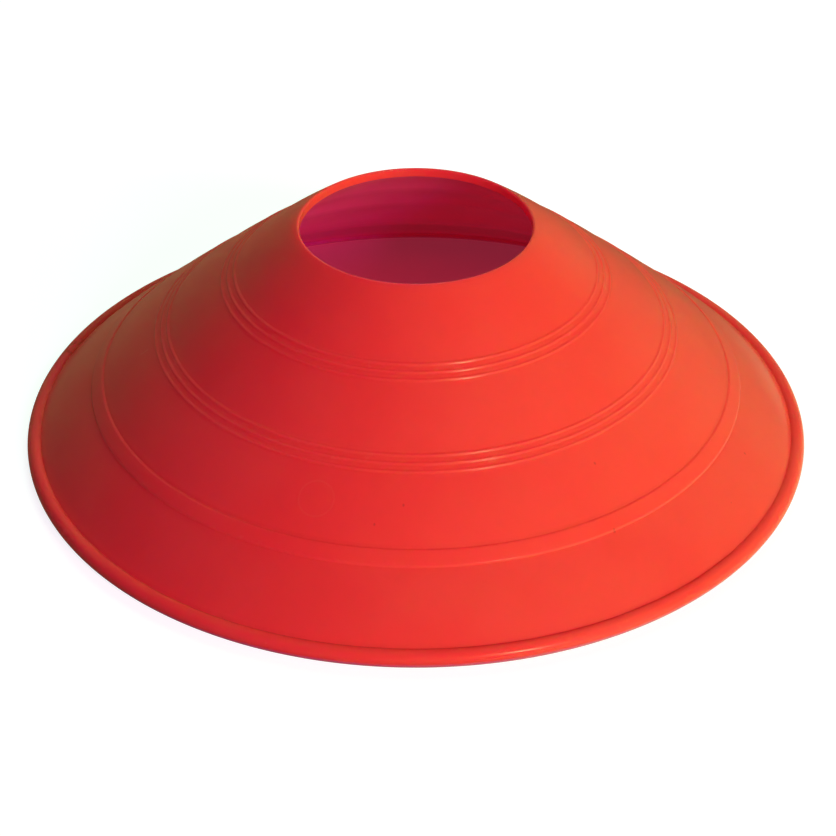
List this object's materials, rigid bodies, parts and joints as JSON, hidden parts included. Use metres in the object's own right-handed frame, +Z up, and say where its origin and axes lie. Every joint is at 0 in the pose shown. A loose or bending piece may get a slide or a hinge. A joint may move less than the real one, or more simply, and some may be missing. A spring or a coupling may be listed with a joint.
{
  "type": "marker cone",
  "caption": "Low domed sports marker cone: one flexible moulded shell with a round hole on top, fine ridged lands, a raised strip and a beaded rim.",
  "frame": {"origin": "centre of the round base, on the ground", "axes": "+Z up along the cone's axis of revolution"},
  "size_m": [0.19, 0.19, 0.0555],
  "materials": {
    "shell_plastic": "semi-gloss moulded polyethylene, lightly scuffed"
  },
  "bodies": {
    "root": {"cone_shell": "shell_plastic"}
  },
  "joints": []
}
